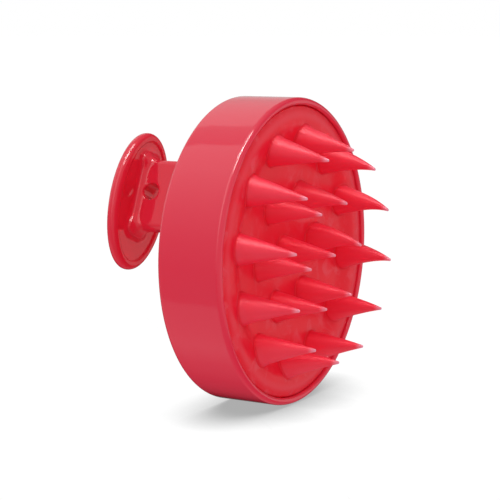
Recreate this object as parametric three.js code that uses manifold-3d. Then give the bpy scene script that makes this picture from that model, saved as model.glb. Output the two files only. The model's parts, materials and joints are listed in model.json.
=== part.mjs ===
// Scalp massager brush, in millimetres.
//
// The brush stands on the rim of its drum, as it is stood on a table. The drum's axis lies along Y:
// the bristles face -Y and the grip is at +Y. +Z is up, the floor is Z = 0, and the origin is the
// bottom centre of the whole object's box. Every piece is first drawn in the drum's own frame, where
// Y = 0 is the front of the drum's lip and the grip leans towards +Z, and the whole brush is then
// rolled about its axis into the attitude in which it stands.

import * as THREE from 'three';
import { mergeVertices } from 'three/addons/utils/BufferGeometryUtils.js';
import Module from 'manifold-3d';

const wasm = await Module();
wasm.setup();

// ---- driving dimensions -------------------------------------------------------------------------

const GAP = 0.3;                 // clearance between pieces that touch

// Drum: a cup with a rounded front lip.
const DRUM_RADIUS = 42.5;
const DRUM_DEPTH = 19.0;         // lip to outer back face
const DRUM_BORE = 40.35;         // inside of the wall
const BACK_WALL = 2.0;
const LIP_CREST_RADIUS = 41.2;   // where the lip is furthest forward
const LIP_OUTER_DROP = 1.4;      // how far back the lip's outer round reaches
const LIP_INNER_DROP = 0.7;
const BACK_EDGE_ROUND = 1.2;
const DRUM_SIDES = 48;

// Ledge inside the drum that carries the pad assembly.
const LEDGE_RADIUS = 38.6;
const LEDGE_FRONT = 9.5;
const LEDGE_BACK = 11.5;

// Pad: a wide bowl, a short wall up to a flat rim, and a skirt.
const PAD_RADIUS = 39.95;
const PAD_SET_BACK = 0.3;        // the flat rim, behind the lip
const BOWL_DEPTH = 4.8;          // the middle of the bowl, behind the flat rim
const BOWL_RADIUS = 33;
const WALL_DEPTH = 1.7;          // how much of that depth is the wall
const WALL_INNER_RADIUS = 28;
const WALL_OUTER_RADIUS = 36;
const BOWL_RADII = [0, 7, 13, 19, 25, 28.5, 31, 33, 35];   // where the outline has its corners
const PAD_THICKNESS = 3.3;
const PAD_EDGE_ROUND = 1.25;
const SKIRT_INNER_RADIUS = 38.3;
const SKIRT_BACK = 8.0;

// Carrier plate behind the pad, and the ring that holds the pad's skirt.
const CARRIER_RADIUS = 37.95;
const CARRIER_THICKNESS = 1.8;
const CARRIER_RIM_INNER = 36.3;
const CARRIER_BACK = 9.2;
const HOOK_COUNT = 4;
const HOOK_START_DEGREES = 45;
const HOOK_CLEARANCE = 0.7;      // between a hook's shank and the ledge
const HOOK_WIDTH = 8;
const HOOK_THICKNESS = 1.6;
const HOOK_BACK = 12.7;
const BARB_REACH = 1.3;
const RIB_COUNT = 6;
const RIB_THICKNESS = 1.4;
const RIB_INNER_RADIUS = 6;
const RIB_OUTER_RADIUS = 30;
const RIB_BACK = 11.4;
const RING_INNER_RADIUS = 38.5;

// Bristles: one in the middle, a ring of 6 and a ring of 12. Each leans in from its foot to its tip.
const BRISTLE_RADIUS = 4.3;      // at the pad's surface
const TIP_RADIUS = 0.6;
const PIVOT_HEIGHT = 3.0;        // where a bristle bends, above the pad's surface
const ROOT_RADIUS = Math.hypot(BRISTLE_RADIUS, PIVOT_HEIGHT);
const RINGS = [
  { name: 'bristle_centre', count: 1, start: 0, footRadius: 0, tipRadius: 0, tipY: -11.3 },
  { name: 'bristle_inner', count: 6, start: 0, footRadius: 15.9, tipRadius: 15.1, tipY: -11.8 },
  { name: 'bristle_outer', count: 12, start: 15, footRadius: 30.8, tipRadius: 28.8, tipY: -14.6 },
];

// Grip: a flat neck that flares into an oval disc, off the drum's axis.
const NECK_CENTRE = 13.4;        // above the drum's axis
const NECK_HEIGHT = 21.0;
const NECK_THICKNESS = 5.8;
const NECK_CORNER = 1.5;
const NECK_CORNER_POINTS = 6;
const NECK_OVERLAP = 0.5;        // how far the neck runs into the disc
const FOOT_FLARE = 2.5;
const DISC_CENTRE = 11.6;
const DISC_HALF_HEIGHT = 20.7;
const DISC_HALF_WIDTH = 13.4;
const DISC_FRONT = 54.4;
const DISC_BACK = 57.8;
const DISC_FLARE = 4.6;
const DISC_SIDES = 48;
const HOLE_RADIUS = 2.5;         // the hanging hole, close to the disc
const HOLE_Y = 50.5;
const HOLE_Z = 14.0;
const CAP_INSET = 2.3;
const CAP_THICKNESS = 1.2;
const CUT_MARGIN = 1.0;          // how far a cut runs past the face it opens

// The two screws that hold the grip to the drum's back wall.
const SCREW_SPACING = 12;
const SCREW_RADIUS = 1.4;
const SCREW_LENGTH = 11;
const SCREW_BORE_DEPTH = 10;     // in the grip's foot
const SCREW_HEAD_RADIUS = 2.6;
const SCREW_HEAD_HEIGHT = 1.6;

// How the brush stands.
const ROLL_DEGREES = 22.9;       // the grip leans this far clockwise, seen from the bristles

// ---- materials ----------------------------------------------------------------------------------

const plastic = (color) => new THREE.MeshStandardMaterial({ color, roughness: 0.18, metalness: 0 });
const silicone = (color) => new THREE.MeshStandardMaterial({ color, roughness: 0.5, metalness: 0 });
const steel = () => new THREE.MeshStandardMaterial({ color: 0xb8bbc0, roughness: 0.35, metalness: 1 });

// ---- solids -------------------------------------------------------------------------------------

// Turn any closed three.js geometry into a solid: shared corners are merged, triangles that have
// collapsed on the axis are dropped, and faces are turned outwards.
function solid(geometry) {
  const bare = geometry.index ? geometry.clone() : mergeVertices(geometry);
  bare.deleteAttribute('normal');
  bare.deleteAttribute('uv');
  const merged = mergeVertices(bare, 1e-4);
  const position = merged.attributes.position;
  const index = merged.index.array;
  const corner = (i) => new THREE.Vector3().fromBufferAttribute(position, i);
  const triangles = [];
  let volume = 0;
  for (let i = 0; i < index.length; i += 3) {
    const [a, b, c] = [index[i], index[i + 1], index[i + 2]];
    if (a === b || b === c || c === a) continue;
    triangles.push([a, b, c]);
    volume += corner(a).dot(corner(b).cross(corner(c)));
  }
  const outward = volume > 0 ? triangles : triangles.map(([a, b, c]) => [a, c, b]);
  return new wasm.Manifold(new wasm.Mesh({
    numProp: 3,
    vertProperties: new Float32Array(position.array),
    triVerts: new Uint32Array(outward.flat()),
  }));
}

function geometryOf(body) {
  const mesh = body.getMesh();
  const geometry = new THREE.BufferGeometry();
  geometry.setAttribute('position', new THREE.BufferAttribute(mesh.vertProperties, 3));
  geometry.setIndex(new THREE.BufferAttribute(mesh.triVerts, 1));
  geometry.computeVertexNormals();
  return geometry;
}

function named(name, body, material) {
  const mesh = new THREE.Mesh(geometryOf(body), material);
  mesh.name = name;
  return mesh;
}

// A solid of revolution about Y, from [radius, y] points. phase turns its flats about the axis.
function turned(points, sides, phase = 0) {
  const outline = points.map(([radius, y]) => new THREE.Vector2(radius, y));
  return solid(new THREE.LatheGeometry(outline, sides, phase));
}

// The same, for an outline that closes on itself away from the axis.
const turnedRing = (points, sides, phase) => turned([...points, points[0]], sides, phase);

// Points on an elliptical arc about (radius, y), with angles in degrees.
function arc(radius, y, across, along, from, to, steps) {
  return Array.from({ length: steps + 1 }, (_, i) => {
    const angle = THREE.MathUtils.degToRad(from + ((to - from) * i) / steps);
    return [radius + across * Math.cos(angle), y + along * Math.sin(angle)];
  });
}

// A solid through a stack of closed outlines of equal length, capped at both ends.
function loft(rings) {
  const count = rings[0].length;
  const points = rings.flat().flatMap((p) => [p.x, p.y, p.z]);
  const index = [];
  for (let r = 0; r + 1 < rings.length; r += 1) {
    for (let i = 0; i < count; i += 1) {
      const a = r * count + i;
      const b = r * count + ((i + 1) % count);
      index.push(a, b, a + count, b, b + count, a + count);
    }
  }
  const last = (rings.length - 1) * count;
  for (let i = 1; i + 1 < count; i += 1) {
    index.push(0, i + 1, i, last, last + i, last + i + 1);
  }
  const geometry = new THREE.BufferGeometry();
  geometry.setAttribute('position', new THREE.Float32BufferAttribute(points, 3));
  geometry.setIndex(index);
  return solid(geometry);
}

// An oval outline across the axis, centred above it at height z.
function oval(halfWidth, halfHeight, y, z, count) {
  return Array.from({ length: count }, (_, i) => {
    const angle = (2 * Math.PI * i) / count;
    return new THREE.Vector3(halfWidth * Math.sin(angle), y, z + halfHeight * Math.cos(angle));
  });
}

// A rectangle with round corners across the axis, each corner with the same number of points.
function roundedRectangle(halfWidth, halfHeight, corner, y, z, cornerPoints) {
  const points = [];
  for (let side = 0; side < 4; side += 1) {
    const signX = side < 2 ? 1 : -1;
    const signZ = side === 0 || side === 3 ? 1 : -1;
    for (let i = 0; i < cornerPoints; i += 1) {
      const angle = (Math.PI / 2) * (side + i / (cornerPoints - 1));
      points.push(new THREE.Vector3(
        signX * (halfWidth - corner) + corner * Math.sin(angle),
        y,
        z + signZ * (halfHeight - corner) + corner * Math.cos(angle),
      ));
    }
  }
  return points;
}

function cylinder(radius, length, sides) {
  return new THREE.CylinderGeometry(radius, radius, length, sides);
}

// A box placed by its low and high corners in the drum's frame, then turned about the axis.
function turnedBox(low, high, degrees) {
  const size = high.map((value, i) => value - low[i]);
  const geometry = new THREE.BoxGeometry(...size);
  geometry.translate(...high.map((value, i) => (value + low[i]) / 2));
  geometry.rotateY(THREE.MathUtils.degToRad(degrees));
  return solid(geometry);
}

// ---- the drum -----------------------------------------------------------------------------------

const ROLL = THREE.MathUtils.degToRad(ROLL_DEGREES);
const DRUM_PHASE = Math.PI / DRUM_SIDES - ROLL;   // puts one flat of the drum on the floor
const SCREW_HEIGHTS = [NECK_CENTRE + SCREW_SPACING / 2, NECK_CENTRE - SCREW_SPACING / 2];

function drumShell() {
  const lipWidth = DRUM_RADIUS - LIP_CREST_RADIUS;
  const outline = [
    [0, DRUM_DEPTH],
    ...arc(DRUM_RADIUS - BACK_EDGE_ROUND, DRUM_DEPTH - BACK_EDGE_ROUND,
      BACK_EDGE_ROUND, BACK_EDGE_ROUND, 90, 0, 3),
    ...arc(LIP_CREST_RADIUS, LIP_OUTER_DROP, lipWidth, LIP_OUTER_DROP, 0, -90, 4),
    ...arc(LIP_CREST_RADIUS, LIP_INNER_DROP, LIP_CREST_RADIUS - DRUM_BORE, LIP_INNER_DROP, -90, -180, 2)
      .slice(1),
    [DRUM_BORE, LEDGE_FRONT],
    [LEDGE_RADIUS, LEDGE_FRONT],
    [LEDGE_RADIUS, LEDGE_BACK],
    [DRUM_BORE, LEDGE_BACK],
    [DRUM_BORE, DRUM_DEPTH - BACK_WALL],
    [0, DRUM_DEPTH - BACK_WALL],
  ];
  let shell = turned(outline, DRUM_SIDES, DRUM_PHASE);
  for (const z of SCREW_HEIGHTS) {
    const bore = cylinder(SCREW_RADIUS + GAP, BACK_WALL * 3, 12).translate(0, DRUM_DEPTH - BACK_WALL / 2, z);
    shell = shell.subtract(solid(bore));
  }
  return shell;
}

// ---- the pad assembly ---------------------------------------------------------------------------

// The pad's front face: how far behind the lip it is, at a radius.
function dish(radius) {
  const wall = 1 - THREE.MathUtils.smootherstep(radius, WALL_INNER_RADIUS, WALL_OUTER_RADIUS);
  const bowl = 1 - THREE.MathUtils.smoothstep(radius, 0, BOWL_RADIUS);
  return PAD_SET_BACK + WALL_DEPTH * wall + (BOWL_DEPTH - WALL_DEPTH) * bowl;
}

// Each bristle's foot on the pad, its direction from foot to tip, its length and its pivot.
function bristlePlaces() {
  const places = [];
  for (const ring of RINGS) {
    for (let i = 0; i < ring.count; i += 1) {
      const angle = THREE.MathUtils.degToRad(ring.start + (360 * i) / ring.count);
      const at = (radius, y) => new THREE.Vector3(radius * Math.sin(angle), y, radius * Math.cos(angle));
      const foot = at(ring.footRadius, dish(ring.footRadius));
      const tip = at(ring.tipRadius, ring.tipY);
      const direction = tip.clone().sub(foot).normalize();
      places.push({
        name: ring.count === 1 ? ring.name : `${ring.name}_${i + 1}`,
        foot,
        direction,
        length: tip.distanceTo(foot),
        pivot: foot.clone().addScaledVector(direction, PIVOT_HEIGHT),
      });
    }
  }
  return places;
}

function siliconePad(places) {
  const edge = PAD_RADIUS - PAD_EDGE_ROUND;
  const back = [...BOWL_RADII, SKIRT_INNER_RADIUS].map((radius) => [radius, dish(radius) + PAD_THICKNESS]);
  const outline = [
    ...BOWL_RADII.map((radius) => [radius, dish(radius)]),
    ...arc(edge, dish(edge) + PAD_EDGE_ROUND, PAD_EDGE_ROUND, PAD_EDGE_ROUND, -90, 0, 3),
    [PAD_RADIUS, SKIRT_BACK],
    [SKIRT_INNER_RADIUS, SKIRT_BACK],
    ...back.toReversed(),
  ];
  let pad = turned(outline, DRUM_SIDES, DRUM_PHASE);
  for (const place of places) {
    const socket = new THREE.SphereGeometry(ROOT_RADIUS + GAP, 14, 10).translate(...place.pivot);
    pad = pad.subtract(solid(socket));
  }
  return pad;
}

// A cone with a round tip. Its foot is part of a ball about the pivot, so it can tilt in its socket.
function bristle(place) {
  const rootAngle = THREE.MathUtils.radToDeg(Math.atan2(PIVOT_HEIGHT, BRISTLE_RADIUS));
  const outline = [
    ...arc(0, PIVOT_HEIGHT, ROOT_RADIUS, ROOT_RADIUS, -90, -rootAngle, 3),
    ...arc(0, place.length - TIP_RADIUS, TIP_RADIUS, TIP_RADIUS, 10, 90, 2),
  ];
  outline[0][0] = 0;
  outline[outline.length - 1][0] = 0;
  const geometry = new THREE.LatheGeometry(outline.map(([r, y]) => new THREE.Vector2(r, y)), 12);
  const lean = new THREE.Quaternion().setFromUnitVectors(new THREE.Vector3(0, 1, 0), place.direction);
  geometry.applyQuaternion(lean);
  geometry.translate(...place.foot);
  return solid(geometry);
}

function padCarrier() {
  const front = (radius) => dish(radius) + PAD_THICKNESS + GAP;
  const radii = [...BOWL_RADII, CARRIER_RIM_INNER];
  const outline = [
    ...radii.map((radius) => [radius, front(radius)]),
    [CARRIER_RADIUS, front(CARRIER_RADIUS)],
    [CARRIER_RADIUS, CARRIER_BACK],
    [CARRIER_RIM_INNER, CARRIER_BACK],
    ...radii.toReversed().map((radius) => [radius, front(radius) + CARRIER_THICKNESS]),
  ];
  let carrier = turned(outline, DRUM_SIDES, DRUM_PHASE);
  const hookOuter = LEDGE_RADIUS - HOOK_CLEARANCE;
  const hookInner = hookOuter - HOOK_THICKNESS;
  const hookFront = (front(CARRIER_RADIUS) + CARRIER_BACK) / 2;
  const barbFront = LEDGE_BACK + GAP;
  for (let i = 0; i < HOOK_COUNT; i += 1) {
    const degrees = HOOK_START_DEGREES + (360 * i) / HOOK_COUNT;
    const shank = turnedBox(
      [-HOOK_WIDTH / 2, hookFront, hookInner],
      [HOOK_WIDTH / 2, HOOK_BACK, hookOuter],
      degrees,
    );
    const barb = turnedBox(
      [-HOOK_WIDTH / 2, barbFront, hookInner],
      [HOOK_WIDTH / 2, HOOK_BACK, hookOuter + BARB_REACH],
      degrees,
    );
    carrier = carrier.add(shank).add(barb);
  }
  const behindPlate = turned([
    ...radii.map((radius) => [radius, front(radius) + CARRIER_THICKNESS / 2]),
    [CARRIER_RIM_INNER, RIB_BACK],
    [0, RIB_BACK],
  ], DRUM_SIDES, DRUM_PHASE);
  for (let i = 0; i < RIB_COUNT; i += 1) {
    const rib = turnedBox(
      [-RIB_THICKNESS / 2, 0, RIB_INNER_RADIUS],
      [RIB_THICKNESS / 2, 2 * RIB_BACK, RIB_OUTER_RADIUS],
      (360 * i) / RIB_COUNT,
    );
    carrier = carrier.add(rib.intersect(behindPlate));
  }
  return carrier;
}

function retainingRing() {
  const front = SKIRT_BACK + GAP;
  const back = LEDGE_FRONT - GAP;
  return turnedRing(
    [[RING_INNER_RADIUS, front], [PAD_RADIUS, front], [PAD_RADIUS, back], [RING_INNER_RADIUS, back]],
    DRUM_SIDES,
    DRUM_PHASE,
  );
}

// ---- the grip -----------------------------------------------------------------------------------

// The neck's outline at y, grown by the quarter-round flares at its two ends.
function neckOutline(y) {
  const flare = (distance, radius) => {
    if (distance >= radius) return 0;
    return radius - Math.sqrt(radius * radius - (radius - distance) ** 2);
  };
  const grow = flare(y - (DRUM_DEPTH + GAP), FOOT_FLARE) + flare(Math.max(DISC_FRONT - y, 0), DISC_FLARE);
  return roundedRectangle(NECK_THICKNESS / 2 + grow, NECK_HEIGHT / 2 + grow, NECK_CORNER + grow,
    y, NECK_CENTRE, NECK_CORNER_POINTS);
}

function grip() {
  const foot = DRUM_DEPTH + GAP;
  const flareSteps = [0, 0.08, 0.3, 0.6, 1];
  const stations = [
    ...flareSteps.map((share) => foot + share * FOOT_FLARE),
    ...flareSteps.toReversed().map((share) => DISC_FRONT - share * DISC_FLARE),
    DISC_FRONT + NECK_OVERLAP,
  ];
  const neck = loft(stations.map(neckOutline));

  const half = (DISC_BACK - DISC_FRONT) / 2;
  const middle = (DISC_BACK + DISC_FRONT) / 2;
  const rim = arc(0, middle, half, half, -90, 90, 6);
  const disc = loft(rim.map(([out, y]) => oval(
    DISC_HALF_WIDTH - half + out, DISC_HALF_HEIGHT - half + out, y, DISC_CENTRE, DISC_SIDES)));

  const hole = cylinder(HOLE_RADIUS, 2 * DISC_HALF_WIDTH, 20);
  hole.rotateZ(Math.PI / 2).translate(0, HOLE_Y, HOLE_Z);
  const recess = loft([DISC_BACK - CAP_THICKNESS - GAP, DISC_BACK + CUT_MARGIN].map((y) => oval(
    DISC_HALF_WIDTH - CAP_INSET + GAP, DISC_HALF_HEIGHT - CAP_INSET + GAP, y, DISC_CENTRE, DISC_SIDES)));
  let body = neck.add(disc).subtract(solid(hole)).subtract(recess);
  for (const z of SCREW_HEIGHTS) {
    const bore = cylinder(SCREW_RADIUS + GAP, 2 * SCREW_BORE_DEPTH, 12).translate(0, foot, z);
    body = body.subtract(solid(bore));
  }
  return body;
}

function knobCap() {
  return loft([DISC_BACK - CAP_THICKNESS, DISC_BACK].map((y) => oval(
    DISC_HALF_WIDTH - CAP_INSET, DISC_HALF_HEIGHT - CAP_INSET, y, DISC_CENTRE, DISC_SIDES)));
}

function gripScrew(z) {
  const seat = DRUM_DEPTH - BACK_WALL - GAP;
  const end = seat + SCREW_LENGTH;
  const outline = [
    [0, seat - SCREW_HEAD_HEIGHT],
    [SCREW_HEAD_RADIUS * 0.7, seat - SCREW_HEAD_HEIGHT],
    [SCREW_HEAD_RADIUS, seat - SCREW_HEAD_HEIGHT * 0.5],
    [SCREW_HEAD_RADIUS, seat],
    [SCREW_RADIUS, seat],
    [SCREW_RADIUS, end - SCREW_RADIUS],
    [0, end],
  ];
  return turned(outline, 12).translate([0, 0, z]);
}

// ---- assembly -----------------------------------------------------------------------------------

const places = bristlePlaces();
const frontMost = Math.min(...RINGS.map((ring) => ring.tipY));
const drumFlat = DRUM_RADIUS * Math.cos(Math.PI / DRUM_SIDES);

const brush = new THREE.Group();
brush.rotation.y = ROLL;
brush.position.set(0, -(frontMost + DISC_BACK) / 2, drumFlat);

brush.add(named('drum_shell', drumShell(), plastic(0xdb4a5c)));
brush.add(named('silicone_pad', siliconePad(places), silicone(0xd8242f)));
for (const place of places) {
  brush.add(named(place.name, bristle(place), silicone(0xeb2f48)));
}
brush.add(named('pad_carrier', padCarrier(), plastic(0xc8303f)));
brush.add(named('retaining_ring', retainingRing(), plastic(0xc8303f)));
brush.add(named('grip', grip(), plastic(0xd53746)));
brush.add(named('knob_cap', knobCap(), plastic(0xd53746)));
SCREW_HEIGHTS.forEach((z, i) => {
  brush.add(named(`grip_screw_${i + 1}`, gripScrew(z), steel()));
});

const part = new THREE.Group();
part.add(brush);

export default part;
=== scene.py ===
"""Looks of the scalp massager brush: glossy drum and grip, dished silicone pad and 19 soft bristles."""
import json
import math

import bpy
import numpy as np
from mathutils import Matrix, Vector

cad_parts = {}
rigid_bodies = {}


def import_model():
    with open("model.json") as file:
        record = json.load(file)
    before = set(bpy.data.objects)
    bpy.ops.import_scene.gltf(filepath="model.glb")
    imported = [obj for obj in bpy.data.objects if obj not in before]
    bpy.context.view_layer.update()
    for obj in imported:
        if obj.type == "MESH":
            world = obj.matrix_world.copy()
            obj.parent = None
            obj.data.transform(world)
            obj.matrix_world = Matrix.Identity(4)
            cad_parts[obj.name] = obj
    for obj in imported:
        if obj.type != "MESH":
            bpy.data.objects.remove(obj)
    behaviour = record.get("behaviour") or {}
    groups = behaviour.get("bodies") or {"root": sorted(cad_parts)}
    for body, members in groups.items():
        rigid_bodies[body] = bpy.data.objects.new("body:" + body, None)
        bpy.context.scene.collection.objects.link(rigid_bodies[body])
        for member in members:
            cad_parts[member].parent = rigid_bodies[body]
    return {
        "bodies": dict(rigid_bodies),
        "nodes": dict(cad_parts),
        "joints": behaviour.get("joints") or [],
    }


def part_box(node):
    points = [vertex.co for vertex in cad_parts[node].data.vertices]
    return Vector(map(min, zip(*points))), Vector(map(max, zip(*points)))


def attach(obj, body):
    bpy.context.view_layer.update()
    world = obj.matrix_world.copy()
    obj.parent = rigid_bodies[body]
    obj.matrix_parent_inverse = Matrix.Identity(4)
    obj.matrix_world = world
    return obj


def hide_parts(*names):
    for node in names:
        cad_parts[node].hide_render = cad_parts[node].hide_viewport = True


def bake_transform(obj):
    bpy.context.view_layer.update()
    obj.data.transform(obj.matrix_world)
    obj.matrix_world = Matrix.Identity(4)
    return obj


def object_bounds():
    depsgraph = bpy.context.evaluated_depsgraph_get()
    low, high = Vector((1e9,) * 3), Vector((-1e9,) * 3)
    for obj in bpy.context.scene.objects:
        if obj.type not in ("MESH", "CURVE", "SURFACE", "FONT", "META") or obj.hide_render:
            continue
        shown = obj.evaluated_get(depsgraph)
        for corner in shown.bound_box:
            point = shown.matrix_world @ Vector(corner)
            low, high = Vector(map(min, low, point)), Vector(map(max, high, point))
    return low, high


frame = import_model()
cad_low, cad_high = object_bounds()

# ---- the drum's own frame -----------------------------------------------------------------------
# Pieces are drawn in millimetres in the drum's frame: the origin is on the drum's axis at the front
# of its lip, Y runs back towards the grip, and Z is the way the grip leans.

MM = 0.001
joints = {joint["child"]: joint for joint in frame["joints"]}
drum_low, drum_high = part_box("drum_shell")

ACROSS = Vector(joints["bristle_centre"]["axis"]).normalized()
BACK = Vector((0, 1, 0))
LEAN = ACROSS.cross(BACK)
CENTRE = Vector(((drum_low.x + drum_high.x) / 2, drum_low.y, (drum_low.z + drum_high.z) / 2))
TURN = Matrix((ACROSS, BACK, LEAN)).transposed()
TO_ROW = Matrix.Translation(CENTRE) @ TURN.to_4x4() @ Matrix.Scale(MM, 4)
TO_DRUM = TO_ROW.inverted()

DRUM_RADIUS = (drum_high.z - drum_low.z) / 2 / MM
DRUM_DEPTH = (drum_high.y - drum_low.y) / MM


# ---- camera -------------------------------------------------------------------------------------

VIEW_AZIMUTH = math.radians(-60.13)
VIEW_ELEVATION = math.radians(7.96)
VIEW_DISTANCE = 425.0            # from the lens to the middle of the drum's front edge
VIEW_RIGHT = 12.78               # how far that middle lies right of the lens axis
VIEW_DOWN = 0.50                 # and below it
FRONT_EDGE = 0.8                 # the front edge's widest circle, behind the lip
LENS = 111.1
SENSOR_WIDTH = 36


def make_camera():
    camera = bpy.data.objects.new("camera", bpy.data.cameras.new("camera"))
    bpy.context.collection.objects.link(camera)
    camera.data.lens = LENS
    camera.data.sensor_width = SENSOR_WIDTH
    camera.data.clip_start = 0.01
    camera.data.clip_end = 50
    right = Vector((math.cos(VIEW_AZIMUTH), math.sin(VIEW_AZIMUTH), 0))
    level = Vector((-math.sin(VIEW_AZIMUTH), math.cos(VIEW_AZIMUTH), 0))
    forward = math.cos(VIEW_ELEVATION) * level - math.sin(VIEW_ELEVATION) * Vector((0, 0, 1))
    up = right.cross(forward)
    target = TO_ROW @ Vector((0, FRONT_EDGE, 0))
    camera.location = target - (VIEW_DISTANCE * forward + VIEW_RIGHT * right - VIEW_DOWN * up) * MM
    camera.rotation_mode = "QUATERNION"
    camera.rotation_quaternion = Matrix((right, up, -forward)).transposed().to_quaternion()
    bpy.context.scene.camera = camera


make_camera()


# ---- meshes -------------------------------------------------------------------------------------

SLOPE_STEP = 0.01                # how far to each side a distance is read to find its slope
LEAST_SLOPE = 0.5                # a slope is never taken to be less than this
SETTLE_STEPS = 4                 # how often a net's points are moved towards the surface


def make_piece(name, vertices, faces, material):
    """A smooth mesh object from points in the drum's frame."""
    mesh = bpy.data.meshes.new(name)
    mesh.from_pydata([tuple(v) for v in vertices], [], [tuple(f) for f in faces])
    mesh.transform(TO_ROW)
    mesh.validate()
    mesh.shade_smooth()
    mesh.materials.append(material)
    piece = bpy.data.objects.new(name, mesh)
    bpy.context.collection.objects.link(piece)
    return piece


def smooth(value):
    """An even rise from 0 to 1 that starts and ends level."""
    share = np.clip(value, 0, 1)
    return share * share * (3 - 2 * share)


def arc(radius, y, across, along, start, end, steps):
    """Points on an elliptical arc about (radius, y), with angles in degrees."""
    angles = np.radians(np.linspace(start, end, steps + 1))
    return [(radius + across * math.cos(a), y + along * math.sin(a)) for a in angles]


def revolve(outline, sides):
    """Vertices and faces of a closed solid of revolution about Y.

    The outline is a list of (radius, y), and its first and last points are on the axis.
    """
    vertices = [(0, outline[0][1], 0), (0, outline[-1][1], 0)]
    inner = outline[1:-1]
    last = len(inner) - 1
    angles = [2 * math.pi * i / sides for i in range(sides)]
    for radius, y in inner:
        vertices += [(radius * math.sin(a), y, radius * math.cos(a)) for a in angles]

    def corner(ring, i):
        return 2 + ring * sides + i % sides

    faces = []
    for i in range(sides):
        faces.append((0, corner(0, i), corner(0, i + 1)))
        faces.append((1, corner(last, i + 1), corner(last, i)))
        for ring in range(last):
            after = ring + 1
            faces.append((corner(ring, i), corner(after, i), corner(after, i + 1), corner(ring, i + 1)))
    return vertices, faces


def crossed_edges(value, axis):
    """Which of a grid's edges along an axis have one end inside the surface and one outside."""
    crossed = (value < 0) != (np.roll(value, -1, axis) < 0)
    crossed[tuple(-1 if d == axis else slice(None) for d in range(3))] = False
    return crossed


def cell_points(points, value, crossings, step):
    """A point in each of a grid's cells that the surface goes through, and each cell's point number."""
    cells = tuple(n - 1 for n in value.shape)
    total = np.zeros(cells + (3,))
    count = np.zeros(cells)
    for axis, crossed in enumerate(crossings):
        ahead = np.roll(value, -1, axis)
        share = np.where(crossed, value / np.where(crossed, value - ahead, 1), 0)
        place = points.copy()
        place[..., axis] += share * step
        others = [d for d in range(3) if d != axis]
        for shift in ((0, 0), (0, 1), (1, 0), (1, 1)):
            pick = [slice(0, -1)] * 3
            for d, shifted in zip(others, shift):
                pick[d] = slice(1, None) if shifted else slice(0, -1)
            pick = tuple(pick)
            total += place[pick] * crossed[pick][..., None]
            count += crossed[pick]
    used = count > 0
    number = np.full(cells, -1)
    number[used] = np.arange(used.sum())
    return total[used] / count[used][:, None], number


def cell_faces(value, crossings, number):
    """A quad round every crossed edge, through the points of the four cells beside it."""
    faces = []
    for axis, crossed in enumerate(crossings):
        u, v = [d for d in range(3) if d != axis]
        at = np.argwhere(crossed)
        at = at[(at[:, u] > 0) & (at[:, v] > 0)]
        back_u, back_v = np.eye(3, dtype=int)[[u, v]]
        ring = [number[tuple((at - back).T)] for back in (0, back_u, back_u + back_v, back_v)]
        quads = np.stack(ring, -1)
        flip = (value[tuple(at.T)] < 0) == (axis != 1)
        quads[flip] = quads[flip][:, ::-1]
        faces.append(quads)
    return np.concatenate(faces)


def settle(field, vertices):
    """The points, moved along the field's slope onto its surface."""
    for _ in range(SETTLE_STEPS):
        here = field(vertices)
        sides = [(field(vertices + d), field(vertices - d)) for d in np.eye(3) * SLOPE_STEP]
        slope = np.stack([(ahead - behind) / (2 * SLOPE_STEP) for ahead, behind in sides], -1)
        steepness = np.maximum((slope ** 2).sum(-1), LEAST_SLOPE ** 2)
        vertices = vertices - slope * (here / steepness)[:, None]
    return vertices


def surface_net(field, low, high, step):
    """A smooth quad mesh of the surface where field(points) is 0.

    The field is a distance, negative inside. The grid runs from low to high.
    """
    axes = [np.arange(a, b + step, step) for a, b in zip(low, high)]
    points = np.stack(np.meshgrid(*axes, indexing="ij"), -1)
    value = field(points.reshape(-1, 3)).reshape(points.shape[:3])
    crossings = [crossed_edges(value, axis) for axis in range(3)]
    vertices, number = cell_points(points, value, crossings, step)
    return settle(field, vertices), cell_faces(value, crossings, number)


# ---- distances, for surface_net -----------------------------------------------------------------

def rounded_box(p, centre, half, corner):
    q = np.abs(p - np.array(centre)) - np.array(half) + corner
    return np.linalg.norm(np.maximum(q, 0), axis=-1) + np.minimum(q.max(-1), 0) - corner


def oval_distance(x, z, half_x, half_z):
    near = np.hypot(x / half_x, z / half_z)
    slope = np.hypot(x / half_x ** 2, z / half_z ** 2)
    return near * (near - 1) / np.maximum(slope, 1e-6)


def round_plate(outline, height, half, corner):
    """A plate of a flat outline's distance, |height| < half, with its edge rounded."""
    a = outline + corner
    b = np.abs(height) - half + corner
    return np.minimum(np.maximum(a, b), 0) + np.hypot(np.maximum(a, 0), np.maximum(b, 0)) - corner


def join(a, b, fillet):
    """Both shapes, with a round fillet where they meet."""
    rounding = np.hypot(np.maximum(fillet - a, 0), np.maximum(fillet - b, 0))
    return np.maximum(fillet, np.minimum(a, b)) - rounding


def cut(a, b, edge):
    """The first shape without the second, with a round edge at the cut."""
    rounding = np.hypot(np.maximum(edge + a, 0), np.maximum(edge - b, 0))
    return np.minimum(-edge, np.maximum(a, -b)) + rounding


# ---- nodes --------------------------------------------------------------------------------------

def node(tree, kind, links=(), **values):
    """A node, with named properties or inputs set, and inputs linked to other nodes' outputs."""
    made = tree.nodes.new(kind)
    for key, value in values.items():
        if hasattr(made, key):
            setattr(made, key, value)
        else:
            made.inputs[key.replace("_", " ")].default_value = value
    for target, source in links:
        tree.links.new(source, made.inputs[target])
    return made


def color_ramp(tree, factor, stops, interpolation="LINEAR"):
    """The color at factor between (position, color) stops."""
    ramp = node(tree, "ShaderNodeValToRGB", [("Fac", factor)])
    ramp.color_ramp.interpolation = interpolation
    for _ in stops[2:]:
        ramp.color_ramp.elements.new(0.5)
    for stop, (position, color) in zip(ramp.color_ramp.elements, stops):
        stop.position = position
        stop.color = (*color, 1)
    return ramp.outputs["Color"]


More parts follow.
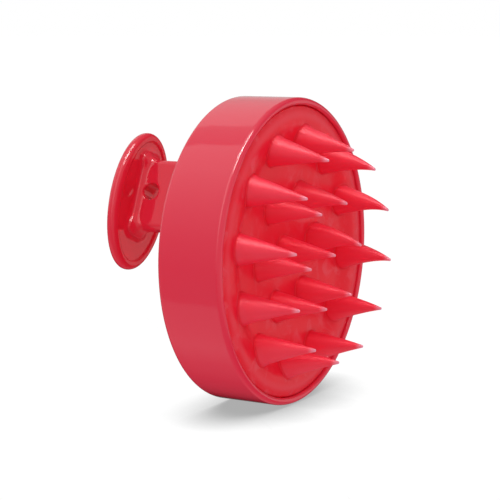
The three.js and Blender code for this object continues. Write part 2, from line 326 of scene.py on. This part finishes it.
# ---- materials ----------------------------------------------------------------------------------
# A noise's scale is in ripples to the metre, and a bump's depth is real.

def new_material(name, color, roughness, **sockets):
    material = bpy.data.materials.new(name)
    material.use_nodes = True
    shader = material.node_tree.nodes["Principled BSDF"]
    shader.inputs["Base Color"].default_value = (*color, 1)
    shader.inputs["Roughness"].default_value = roughness
    for socket, value in sockets.items():
        shader.inputs[socket.replace("_", " ")].default_value = value
    return material, material.node_tree, shader


def rough_and_bump(tree, shader, roughness, spread, bump_scale, bump_depth):
    """Uneven gloss, and a fine grain of real depth, both from the piece's own coordinates."""
    place = node(tree, "ShaderNodeTexCoord").outputs["Object"]
    blotches = node(tree, "ShaderNodeTexNoise", [("Vector", place)], Scale=90, Detail=4)
    gloss = node(tree, "ShaderNodeMapRange", [("Value", blotches.outputs["Fac"])],
                 To_Min=roughness - spread, To_Max=roughness + spread)
    tree.links.new(gloss.outputs["Result"], shader.inputs["Roughness"])
    grain = node(tree, "ShaderNodeTexNoise", [("Vector", place)], Scale=bump_scale, Detail=3)
    bump = node(tree, "ShaderNodeBump", [("Height", grain.outputs["Fac"])], Strength=1, Distance=bump_depth)
    tree.links.new(bump.outputs["Normal"], shader.inputs["Normal"])
    return place


def gloss_plastic(name, color, specular):
    """Polished plastic with a faint ripple."""
    roughness = 0.06
    material, tree, shader = new_material(
        name, color, roughness,
        Subsurface_Weight=0.1, Subsurface_Scale=0.002, IOR=1.5, Specular_IOR_Level=specular)
    shader.inputs["Subsurface Radius"].default_value = (1, 0.25, 0.2)
    rough_and_bump(tree, shader, roughness, spread=0.02, bump_scale=260, bump_depth=0.006 * MM)
    return material


def silicone(name, color, roughness, specular):
    """Satin rubber that light goes a little way into."""
    material, tree, shader = new_material(
        name, color, roughness,
        Subsurface_Weight=0.25, Subsurface_Scale=0.003, IOR=1.45, Specular_IOR_Level=specular)
    shader.inputs["Subsurface Radius"].default_value = (1, 0.3, 0.25)
    place = rough_and_bump(tree, shader, roughness, spread=0.06, bump_scale=900, bump_depth=0.012 * MM)
    return material, tree, shader, place


def bloom_and_rim_highlight_silicone(name, color, bloom_and_highlight, roughness, specular):
    """The pad's silicone, with the bloom that handling leaves in small patches, and a painted highlight in
    the same paler colour along the raised rim.
    """
    material, tree, shader, place = silicone(name, color, roughness, specular)
    bloom = node(tree, "ShaderNodeTexNoise", [("Vector", place)],
                 Scale=190, Detail=6, Roughness=0.62, Distortion=0.6)
    patches = node(tree, "ShaderNodeMapRange", [("Value", bloom.outputs["Fac"])],
                   interpolation_type="SMOOTHSTEP", From_Min=0.48, From_Max=0.76)
    # painted highlight: the strip along the raised rim gets the same paler colour as the bloom
    rim = node(tree, "ShaderNodeAttribute", attribute_name="painted_rim_highlight")
    share = node(tree, "ShaderNodeMath", [(0, patches.outputs["Result"]), (1, rim.outputs["Fac"])],
                 operation="MAXIMUM")
    mixed = node(tree, "ShaderNodeMix", [("Factor", share.outputs[0])], data_type="RGBA")
    mixed.inputs["A"].default_value = (*color, 1)
    mixed.inputs["B"].default_value = (*bloom_and_highlight, 1)
    tree.links.new(mixed.outputs["Result"], shader.inputs["Base Color"])
    return material


FOOT_BLEND = (0.01, 0.06)        # how far up a bristle its foot's look starts and ends changing to its lighter painted colour
TIP_PALES = 0.85                 # and where it starts to grow paler towards its tip


def tipped_silicone(name, foot, middle, tip, roughness, foot_specular, specular):
    """The bristles' silicone: the pad's silicone, painted lighter and pinker as painted light.

    towards_tip is 0 at the foot, which looks like the pad, and 1 at the thin, pale tip.
    """
    material, tree, shader, _ = silicone(name, middle, roughness, specular)
    along = node(tree, "ShaderNodeAttribute", attribute_name="towards_tip").outputs["Fac"]
    stops = ((FOOT_BLEND[0], foot), (FOOT_BLEND[1], middle), (TIP_PALES, middle), (1.0, tip))
    tree.links.new(color_ramp(tree, along, stops, "EASE"), shader.inputs["Base Color"])
    gloss = node(tree, "ShaderNodeMapRange", [("Value", along)], interpolation_type="SMOOTHSTEP",
                 From_Min=0.0, From_Max=FOOT_BLEND[1], To_Min=foot_specular, To_Max=specular)
    tree.links.new(gloss.outputs["Result"], shader.inputs["Specular IOR Level"])
    return material


def plain_plastic(name, color):
    roughness = 0.5
    material, tree, shader = new_material(name, color, roughness)
    rough_and_bump(tree, shader, roughness, spread=0.08, bump_scale=900, bump_depth=0.03 * MM)
    return material


def zinc_steel(name):
    roughness = 0.35
    material, tree, shader = new_material(name, (0.6, 0.61, 0.63), roughness, Metallic=1)
    rough_and_bump(tree, shader, roughness, spread=0.1, bump_scale=1200, bump_depth=0.01 * MM)
    return material


PAD_RED = (0.93, 0.0075, 0.029)
# paler pad colour: real bloom in small patches, and a painted highlight along the rim
BLOOM_AND_RIM_HIGHLIGHT_RED = (0.94, 0.070, 0.105)
# the pad's silicone painted lighter and pinker on the bristles, as painted light for the light they catch
PAINTED_LIT_BRISTLE_RED = (0.98, 0.015, 0.056)
TIP_PINK = (0.97, 0.30, 0.40)
PAD_SPECULAR = 0.28

DRUM_PLASTIC = gloss_plastic("drum_plastic", (0.84, 0.026, 0.066), specular=0.5)
GRIP_PLASTIC = gloss_plastic("grip_plastic", (0.82, 0.021, 0.052), specular=0.4)
PAD_SILICONE = bloom_and_rim_highlight_silicone("pad_silicone", PAD_RED, BLOOM_AND_RIM_HIGHLIGHT_RED, roughness=0.34, specular=PAD_SPECULAR)
BRISTLE_SILICONE = tipped_silicone("bristle_silicone", PAD_RED, PAINTED_LIT_BRISTLE_RED, TIP_PINK,
                                   roughness=0.5, foot_specular=PAD_SPECULAR, specular=0.75)
INNER_PLASTIC = plain_plastic("inner_plastic", (0.35, 0.02, 0.03))
SCREW_STEEL = zinc_steel("screw_steel")


# ---- drum ---------------------------------------------------------------------------------------

LIP_CREST = 41.2
LIP_OUTER_DROP = 1.4
LIP_INNER_DROP = 0.7
DRUM_BORE = 40.35
BACK_ROUND = 1.2
DRUM_INSIDE = 17.0
BACK_RINGS = (12, 24, 34, 40)    # rings of points on the flat back, the band and the bore
BAND_RINGS = (14, 10, 6)
BORE_RINGS = (1.2, 3, 8)
ROUND_SIDES = 256


def make_drum():
    outline = [
        (0, DRUM_DEPTH),
        *[(r, DRUM_DEPTH) for r in BACK_RINGS],
        *arc(DRUM_RADIUS - BACK_ROUND, DRUM_DEPTH - BACK_ROUND, BACK_ROUND, BACK_ROUND, 90, 0, 8),
        *[(DRUM_RADIUS, y) for y in BAND_RINGS],
        *arc(LIP_CREST, LIP_OUTER_DROP, DRUM_RADIUS - LIP_CREST, LIP_OUTER_DROP, 0, -90, 14),
        *arc(LIP_CREST, LIP_INNER_DROP, LIP_CREST - DRUM_BORE, LIP_INNER_DROP, -90, -180, 7)[1:],
        *[(DRUM_BORE, y) for y in (*BORE_RINGS, DRUM_INSIDE)],
        (0, DRUM_INSIDE),
    ]
    piece = make_piece("drum", *revolve(outline, ROUND_SIDES), DRUM_PLASTIC)
    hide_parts("drum_shell")
    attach(piece, "brush")


# ---- pad ----------------------------------------------------------------------------------------

PAD_RADIUS = 40.05
BEAD_RADIUS = 36.0               # outside this the pad's rim turns over, first in a wide arc
BEAD_ROUND = 13.0
BEAD_DEGREES = 16
EDGE_ROUND = 0.35                # and then in a small one, which takes over at EDGE_DEGREES
EDGE_DEGREES = 26
RIM_HIGHLIGHT = 0.45                  # how strong the painted highlight along the pad's rim is
RIM_CREST = 37.7                 # where the painted highlight is strongest, and how far it fades to each side
RIM_FADE = 1.8
PAD_SET_BACK = 0.3
BOWL_DEPTH = 4.8
BOWL_RADIUS = 33
WALL_DEPTH = 1.7
WALL_RADIUS = 28
PAD_THICKNESS = 3.3
SKIRT_RADIUS = 40.3
SKIRT_INNER = 38.3
SKIRT_FRONT = 0.05               # how far behind the pad's outer edge the skirt starts
SKIRT_BACK = 8.0


def dish(radius):
    """How far behind the lip the pad's face is: a wide bowl, and a short wall up to its flat rim."""
    rise = np.clip((radius - WALL_RADIUS) / (BEAD_RADIUS - WALL_RADIUS), 0, 1)
    wall = 1 - rise ** 3 * (10 - 15 * rise + 6 * rise ** 2)
    bowl = 1 - smooth(radius / BOWL_RADIUS)
    return PAD_SET_BACK + WALL_DEPTH * wall + (BOWL_DEPTH - WALL_DEPTH) * bowl


def make_pad():
    bead = arc(BEAD_RADIUS, PAD_SET_BACK + BEAD_ROUND, BEAD_ROUND, BEAD_ROUND, -90, BEAD_DEGREES - 90, 16)
    edge_y = bead[-1][1] + EDGE_ROUND
    outline = [
        *[(r, dish(r)) for r in np.linspace(0, BEAD_RADIUS, 70)[:-1]],
        *bead,
        *arc(PAD_RADIUS - EDGE_ROUND, edge_y, EDGE_ROUND, EDGE_ROUND, EDGE_DEGREES - 90, 0, 5),
        (SKIRT_RADIUS, edge_y + SKIRT_FRONT),
        (SKIRT_RADIUS, SKIRT_BACK),
        (SKIRT_INNER, SKIRT_BACK),
        *[(r, dish(r) + PAD_THICKNESS) for r in np.linspace(SKIRT_INNER, 0, 40)],
    ]
    vertices, faces = revolve(outline, ROUND_SIDES)
    piece = make_piece("pad", vertices, faces, PAD_SILICONE)
    radius = np.array([math.hypot(x, z) for x, _, z in vertices])
    # painted highlight: a band round the rim, where its rounded edge catches the light, gets the paler
    # colour
    painted_rim_highlight = RIM_HIGHLIGHT * smooth(1 - np.abs(radius - RIM_CREST) / RIM_FADE)
    piece.data.attributes.new("painted_rim_highlight", "FLOAT", "POINT").data.foreach_set("value", painted_rim_highlight)
    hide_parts("silicone_pad")
    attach(piece, "brush")


# ---- bristles -----------------------------------------------------------------------------------

PIVOT_HEIGHT = 3.0
BRISTLE_FOOT = 4.4
BRISTLE_TIP = 0.42
TIP_BAND = 0.3                   # how much of the CAD bristle's front counts as its tip
FILLET = 0.45
FOOT_SINK = 0.4                  # how far the foot runs on into the pad
FLANGE = ((0.9, FOOT_SINK), (0.8, 0.08), (0.4, 0.02))   # (past the fillet, depth) of its edge there
BRISTLE_SIDES = 40
DROOP = 0.9                      # how far the most worn bristle hangs out of line, and where it is
DROOP_BEARING = math.radians(70)
DROOP_LEAST = 0.2
DROOP_CURVE = 1.2                # how strongly it bows the other way below its tip


def cone_radius(height, length):
    return BRISTLE_FOOT + (BRISTLE_TIP - BRISTLE_FOOT) * height / (length - BRISTLE_TIP)


def bristle_outline(length):
    """(radius, height above the pad) from the foot, with its hollow fillet, up to the round tip."""
    edge = cone_radius(FILLET, length)
    fillet = [(edge + FILLET * (1 - math.cos(a)), FILLET * (1 - math.sin(a)))
              for a in np.radians(np.linspace(90, 0, 10))]
    foot = fillet[0][0]
    buried = [(0, -FOOT_SINK), *[(foot + out, -depth) for out, depth in FLANGE]]
    body = [(cone_radius(h, length), h) for h in np.linspace(FILLET, length - BRISTLE_TIP, 26)[1:]]
    tip = arc(0, length - BRISTLE_TIP, BRISTLE_TIP, BRISTLE_TIP, 12, 90, 6)
    return [*buried, *fillet, *body, *tip]


def droop_at(foot):
    """How far a bristle's tip hangs, by the way its foot lies from the middle of the pad."""
    bearing = TURN @ Vector((foot.x, 0, foot.z))
    if bearing.length < BRISTLE_FOOT:
        return DROOP_LEAST
    nearness = math.cos(math.atan2(bearing.x, bearing.z) - DROOP_BEARING)
    return DROOP_LEAST + DROOP * max(0.0, nearness) ** 3


def make_bristle(name):
    """A soft cone on the CAD bristle's line, with its foot on the pad's curve and a hanging tip."""
    points = np.array([TO_DRUM @ v.co for v in frame["nodes"][name].data.vertices])
    near_tip = points[points[:, 1] < points[:, 1].min() + TIP_BAND]
    tip = Vector((near_tip[:, 0].mean(), points[:, 1].min(), near_tip[:, 2].mean()))
    pivot = TO_DRUM @ Vector(joints[name]["pos_m"])
    up = (tip - pivot).normalized()
    foot = pivot - up * PIVOT_HEIGHT
    length = (tip - foot).length
    droop = droop_at(foot)
    down = TURN.transposed() @ Vector((0, 0, -1))
    turn = Vector((0, 1, 0)).rotation_difference(up).to_matrix()
    vertices, faces = revolve(bristle_outline(length), BRISTLE_SIDES)
    placed = []
    for vertex in vertices:
        height = vertex[1]
        place = foot + turn @ Vector(vertex)
        on_pad = dish(math.hypot(place.x, place.z)) - height
        free = float(smooth(height / PIVOT_HEIGHT))
        place.y = on_pad + (place.y - on_pad) * free
        share = max(0.0, height / length)
        placed.append(place + down * droop * ((1 + DROOP_CURVE) * share ** 3 - DROOP_CURVE * share))
    piece = make_piece(f"{name}_soft", placed, faces, BRISTLE_SILICONE)
    towards_tip = [max(0.0, y / length) for _, y, _ in vertices]
    piece.data.attributes.new("towards_tip", "FLOAT", "POINT").data.foreach_set("value", towards_tip)
    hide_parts(name)
    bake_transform(piece)


# ---- grip ---------------------------------------------------------------------------------------

NECK_CENTRE = 13.4
NECK_HALF = (2.9, 20.0, 10.5)
NECK_CORNER = 1.5
FOOT_FLARE = 2.5
DISC_CENTRE = 11.6
DISC_HALF_WIDTH = 13.4
DISC_HALF_HEIGHT = 20.7
DISC_FRONT = 54.4
DISC_BACK = 57.8
DISC_ROUND = 1.6
DISC_FLARE = (2.2, 4.2)          # on the neck's flat sides, and on its narrow edges
FLARE_START = 0.6                # where on the neck's half width it starts to grow, and for how much of it
FLARE_GROWTH = 0.5
RIM_BEAD = 2.6                   # the disc's rim stands up by RIM_STEP round its front face
RIM_STEP = 0.45
RIM_CORNER = 0.2
RIM_EDGE = 0.3
HOLE = (50.5, 14.0)
HOLE_RADIUS = 2.5
HOLE_EDGE = 0.35
CAP_INSET = 2.3
CAP_THICKNESS = 1.2
CAP_GAP = 0.15
CAP_ROUND = 0.3
RECESS_ROUND = 0.1
NET_STEP = 0.4
NET_MARGIN = 1


def disc_outline(x, z):
    return oval_distance(x, z - DISC_CENTRE, DISC_HALF_WIDTH, DISC_HALF_HEIGHT)


def grip_field(p):
    x, y, z = p[:, 0], p[:, 1], p[:, 2]
    neck = rounded_box(p, (0, DRUM_DEPTH + NECK_HALF[1], NECK_CENTRE), NECK_HALF, NECK_CORNER)
    outline = disc_outline(x, z)
    middle = (DISC_FRONT + DISC_BACK) / 2
    disc = round_plate(outline, y - middle, (DISC_BACK - DISC_FRONT) / 2, DISC_ROUND)
    inside_rim = round_plate(outline + RIM_BEAD, y - DISC_FRONT, RIM_STEP, RIM_CORNER)
    disc = cut(disc, inside_rim, RIM_EDGE)
    from_flat = np.abs(z - NECK_CENTRE) - FLARE_START * NECK_HALF[2]
    towards_edge = smooth(from_flat / (FLARE_GROWTH * NECK_HALF[2]))
    body = join(neck, disc, DISC_FLARE[0] + (DISC_FLARE[1] - DISC_FLARE[0]) * towards_edge)
    drum_back = y - DRUM_DEPTH
    body = np.maximum(join(body, drum_back, FOOT_FLARE), -drum_back)
    hole = np.hypot(y - HOLE[0], z - HOLE[1]) - HOLE_RADIUS
    body = cut(body, hole, HOLE_EDGE)
    recess = round_plate(outline + CAP_INSET - CAP_GAP, y - DISC_BACK, CAP_THICKNESS, RECESS_ROUND)
    return np.maximum(body, -recess)


def make_grip():
    half = np.array((DISC_HALF_WIDTH, 0, DISC_HALF_HEIGHT))
    low = np.array((0, DRUM_DEPTH, DISC_CENTRE)) - half - NET_MARGIN
    high = np.array((0, DISC_BACK, DISC_CENTRE)) + half + NET_MARGIN
    piece = make_piece("grip_body", *surface_net(grip_field, low, high, NET_STEP), GRIP_PLASTIC)
    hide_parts("grip")
    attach(piece, "brush")


def cap_field(p):
    outline = disc_outline(p[:, 0], p[:, 2]) + CAP_INSET
    middle = DISC_BACK - CAP_THICKNESS / 2
    return round_plate(outline, p[:, 1] - middle, CAP_THICKNESS / 2, CAP_ROUND)


def make_cap():
    low = (-DISC_HALF_WIDTH, DISC_BACK - CAP_THICKNESS - NET_MARGIN, DISC_CENTRE - DISC_HALF_HEIGHT)
    high = (DISC_HALF_WIDTH, DISC_BACK + NET_MARGIN, DISC_CENTRE + DISC_HALF_HEIGHT)
    piece = make_piece("cap", *surface_net(cap_field, low, high, NET_STEP), GRIP_PLASTIC)
    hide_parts("knob_cap")
    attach(piece, "brush")


# ---- carried-over pieces ------------------------------------------------------------------------

def paint_node(name, material):
    mesh = frame["nodes"][name].data
    mesh.materials.clear()
    mesh.materials.append(material)


# ---- floor --------------------------------------------------------------------------------------

FLOOR_HALF = 60.0                # in metres
SHADE_REACH = 0.019


def make_floor():
    """A white floor that glows, with a painted contact shadow: it is a little darker the more the object
    closes it in.
    """
    mesh = bpy.data.meshes.new("floor")
    corners = [(x * FLOOR_HALF, y * FLOOR_HALF, 0) for x, y in ((-1, -1), (1, -1), (1, 1), (-1, 1))]
    mesh.from_pydata(corners, [], [(0, 1, 2, 3)])
    material = bpy.data.materials.new("floor_white_painted_shadow")
    material.use_nodes = True
    tree = material.node_tree
    tree.nodes.remove(tree.nodes["Principled BSDF"])
    # painted shadow: the floor's glow is darkened by ambient occlusion near the object
    closeness = node(tree, "ShaderNodeAmbientOcclusion", Distance=SHADE_REACH)
    shade = node(tree, "ShaderNodeMapRange", [("Value", closeness.outputs["AO"])],
                 From_Min=0.28, From_Max=0.86, To_Min=0.42, To_Max=1.02)
    glow = node(tree, "ShaderNodeEmission", [("Color", shade.outputs["Result"])])
    tree.links.new(glow.outputs[0], tree.nodes["Material Output"].inputs["Surface"])
    mesh.materials.append(material)
    floor = bpy.data.objects.new("floor", mesh)
    bpy.context.collection.objects.link(floor)
    floor.visible_diffuse = False
    floor.visible_glossy = False


# ---- light --------------------------------------------------------------------------------------

KEY_WAY = Vector((-0.24, -0.1, 0.96))
KEY_DISTANCE = 0.6
KEY_SIZE = (0.3, 0.05)
KEY_POWER = 0.55

# How bright the room is all the way round the Y axis, by the angle above level on the -X side, where
# the camera is. Behind the brush, long panels stand over the table on both sides with gaps between
# them high up, and the table's edge is at -35 degrees. Beside it there is a broad panel on the
# camera's side, then a narrow strip lamp high up. In front of it there is a darker room, with one
# panel straight ahead.
BEHIND = (
    (-180, 0.5), (-150, 0), (-110, 0.1), (-90, 0.3), (-72, 0.7), (-38, 0.7), (-35, 0.4), (-10, 0.4),
    (12, 0.6), (34, 0.95), (66, 1.5), (88, 1.55), (90, 0.8), (109, 0.85), (111, 1.3), (155, 0.6),
)
BESIDE = (
    (-180, 0.1), (-110, 0.3), (-12, 0.3), (8, 1.2), (30, 2.4), (64, 2.8), (94, 2.8), (100, 0.9),
    (150, 0.1),
)
STRIP = (
    (-180, 0.1), (-40, 0.3), (30, 0.8), (60, 2), (66, 15), (95, 15), (99, 0.9), (150, 0.1),
)
IN_FRONT = (
    (-180, 0.7), (-160, 0.7), (-154, 0.1), (-90, 0.1), (0, 0.7), (90, 0.9), (150, 0.1), (170, 0.7),
)
AHEAD = ((-180, 1.0), (0, 0.7), (170, 1.0))
# Where each of the later ones starts and is complete, by how far a direction points along Y.
ROOM = ((BESIDE, 0.38, 0.22), (STRIP, -0.06, -0.1), (IN_FRONT, -0.3, -0.36), (AHEAD, -0.8, -0.93))


def make_wall(tree, turn, stops):
    """One of the room's zones: a grey for each share of a whole turn round the Y axis."""
    grey = [((degrees + 180) / 360, (brightness,) * 3) for degrees, brightness in stops]
    return color_ramp(tree, turn, grey)


def make_room(tree, direction):
    """The color of the room of panels that glossy surfaces reflect."""
    left = node(tree, "ShaderNodeMath", [(0, direction.outputs["X"])], operation="MULTIPLY")
    left.inputs[1].default_value = -1
    angle = node(tree, "ShaderNodeMath", [(0, direction.outputs["Z"]), (1, left.outputs[0])],
                 operation="ARCTAN2")
    whole_turn = node(tree, "ShaderNodeMapRange", [("Value", angle.outputs[0])],
                      From_Min=-math.pi, From_Max=math.pi)
    turn = whole_turn.outputs["Result"]
    walls = make_wall(tree, turn, BEHIND)
    for stops, start, complete in ROOM:
        share = node(tree, "ShaderNodeMapRange", [("Value", direction.outputs["Y"])],
                     From_Min=start, From_Max=complete)
        joined = node(tree, "ShaderNodeMix", [("Factor", share.outputs["Result"])], data_type="RGBA")
        tree.links.new(walls, joined.inputs["A"])
        tree.links.new(make_wall(tree, turn, stops), joined.inputs["B"])
        walls = joined.outputs["Result"]
    return walls


def make_world():
    """Plain white light from all round, in which only reflections see the room."""
    world = bpy.data.worlds.new("studio")
    world.use_nodes = True
    tree = world.node_tree
    place = node(tree, "ShaderNodeTexCoord")
    direction = node(tree, "ShaderNodeSeparateXYZ", [("Vector", place.outputs["Generated"])])
    room = tree.nodes["Background"]
    tree.links.new(make_room(tree, direction), room.inputs["Color"])
    from_below = node(tree, "ShaderNodeMapRange", [("Value", direction.outputs["Z"])],
                      From_Min=-1, From_Max=0, To_Min=0.95, To_Max=0.76)
    soft = node(tree, "ShaderNodeBackground", [("Color", from_below.outputs["Result"])])
    white = node(tree, "ShaderNodeBackground", Color=(1, 1, 1, 1))
    ray = node(tree, "ShaderNodeLightPath")
    light = node(tree, "ShaderNodeMixShader",
                 [(0, ray.outputs["Is Glossy Ray"]), (1, soft.outputs[0]), (2, room.outputs[0])])
    seen = node(tree, "ShaderNodeMixShader",
                [(0, ray.outputs["Is Camera Ray"]), (1, light.outputs[0]), (2, white.outputs[0])])
    tree.links.new(seen.outputs[0], tree.nodes["World Output"].inputs["Surface"])
    bpy.context.scene.world = world
    bpy.context.scene.view_settings.view_transform = "Standard"


def make_key_light(target):
    """A soft lamp over the brush, a little to the camera's side."""
    data = bpy.data.lights.new("key", "AREA")
    data.shape = "RECTANGLE"
    data.size, data.size_y = KEY_SIZE
    data.energy = KEY_POWER
    light = bpy.data.objects.new("key", data)
    light.location = target + KEY_DISTANCE * KEY_WAY
    light.rotation_mode = "QUATERNION"
    light.rotation_quaternion = (target - light.location).to_track_quat("-Z", "Y")
    bpy.context.collection.objects.link(light)


make_drum()
make_pad()
for body in frame["bodies"]:
    if body.startswith("bristle"):
        make_bristle(body)
make_grip()
make_cap()
paint_node("pad_carrier", INNER_PLASTIC)
paint_node("retaining_ring", INNER_PLASTIC)
paint_node("grip_screw_1", SCREW_STEEL)
paint_node("grip_screw_2", SCREW_STEEL)
make_floor()
make_world()
make_key_light((cad_low + cad_high) / 2)
